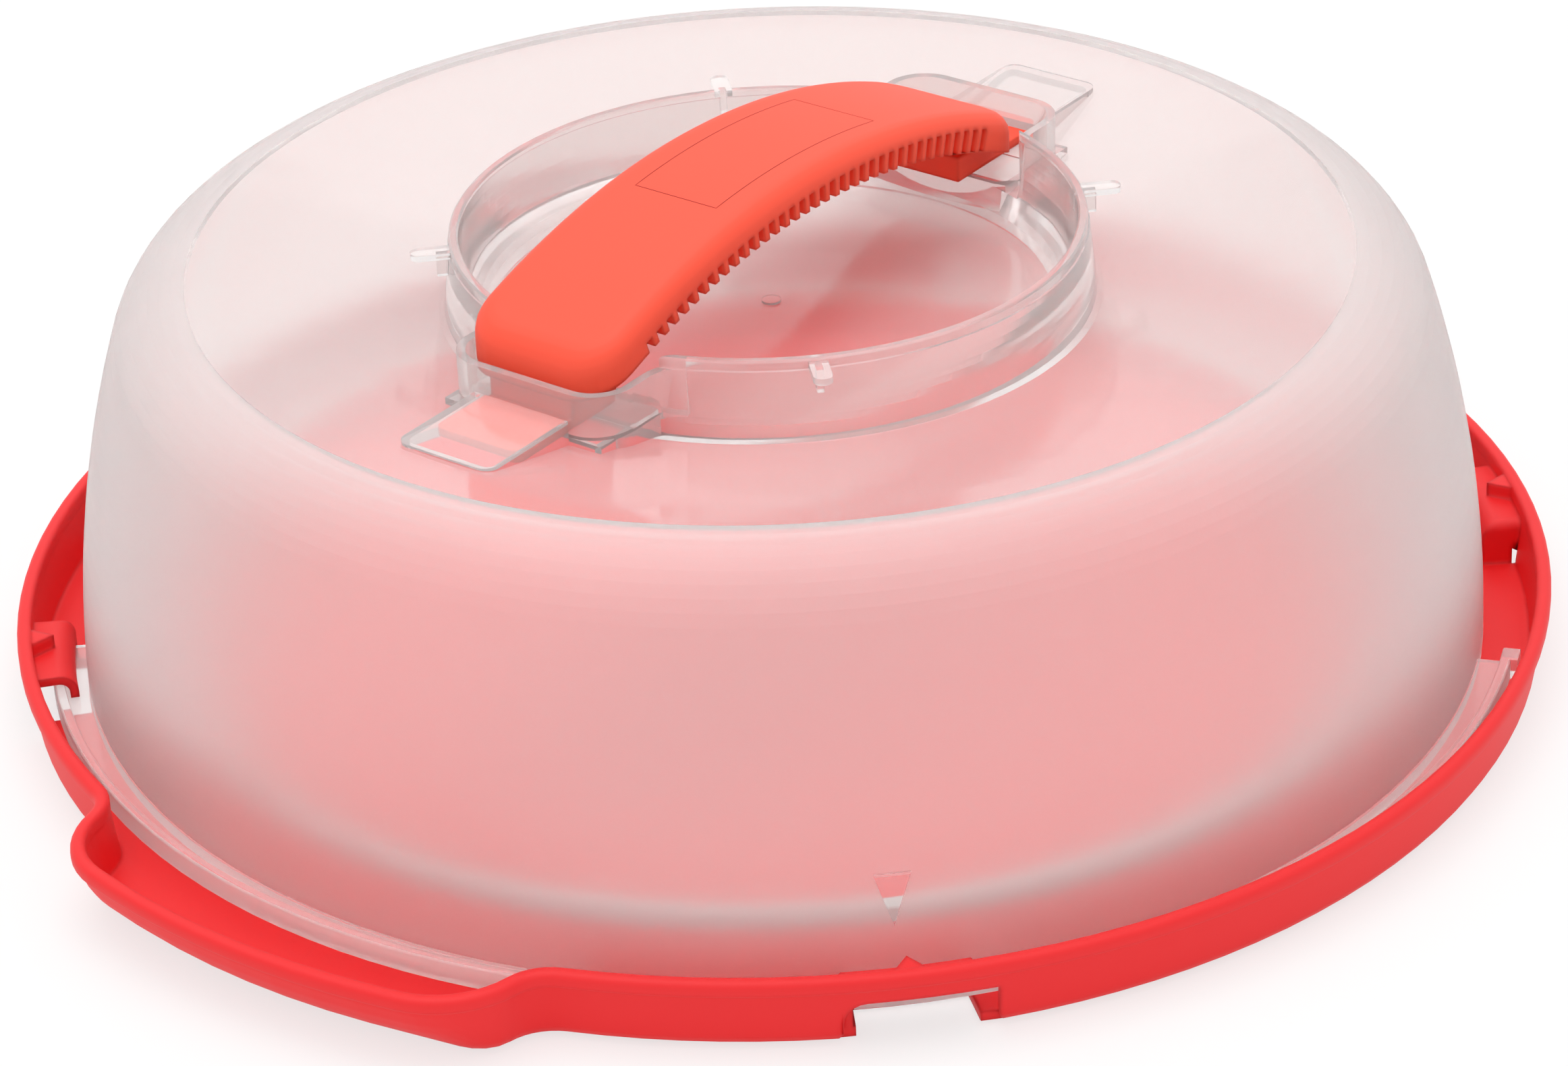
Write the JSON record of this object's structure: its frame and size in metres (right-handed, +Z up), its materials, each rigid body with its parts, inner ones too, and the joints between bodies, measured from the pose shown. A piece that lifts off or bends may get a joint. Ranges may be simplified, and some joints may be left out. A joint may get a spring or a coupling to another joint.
{
  "type": "cake carrier",
  "caption": "Round cake carrier: a tray with two lifting ears, a twist-lock dome lid, and a bowed carrying handle that slides in a ring on top.",
  "frame": {"origin": "middle of the tray's underside, on the surface it rests on", "axes": "+Z up; X along the two ears and the handle; Y across, level"},
  "size_m": [0.351, 0.32, 0.1118],
  "materials": {
    "tray_plastic": "satin moulded polypropylene, coral red",
    "lid_plastic": "natural polypropylene, frosted on the wall and clear on the top",
    "handle_plastic": "fine matt moulded polypropylene, coral red"
  },
  "bodies": {
    "tray": {"base_tray": "tray_plastic"},
    "lid": {"dome_lid": "lid_plastic"},
    "handle": {"carry_handle": "handle_plastic"}
  },
  "joints": [
    {"name": "lid_turn", "type": "hinge", "parent": "tray", "child": "lid", "pos_m": [0, 0, 0.0025], "axis": [0, 0, 1], "range_deg": [0, 13]},
    {"name": "handle_slide", "type": "slide", "parent": "lid", "child": "handle", "axis": [1, 0, 0], "range_m": [0, 0.0105]}
  ]
}
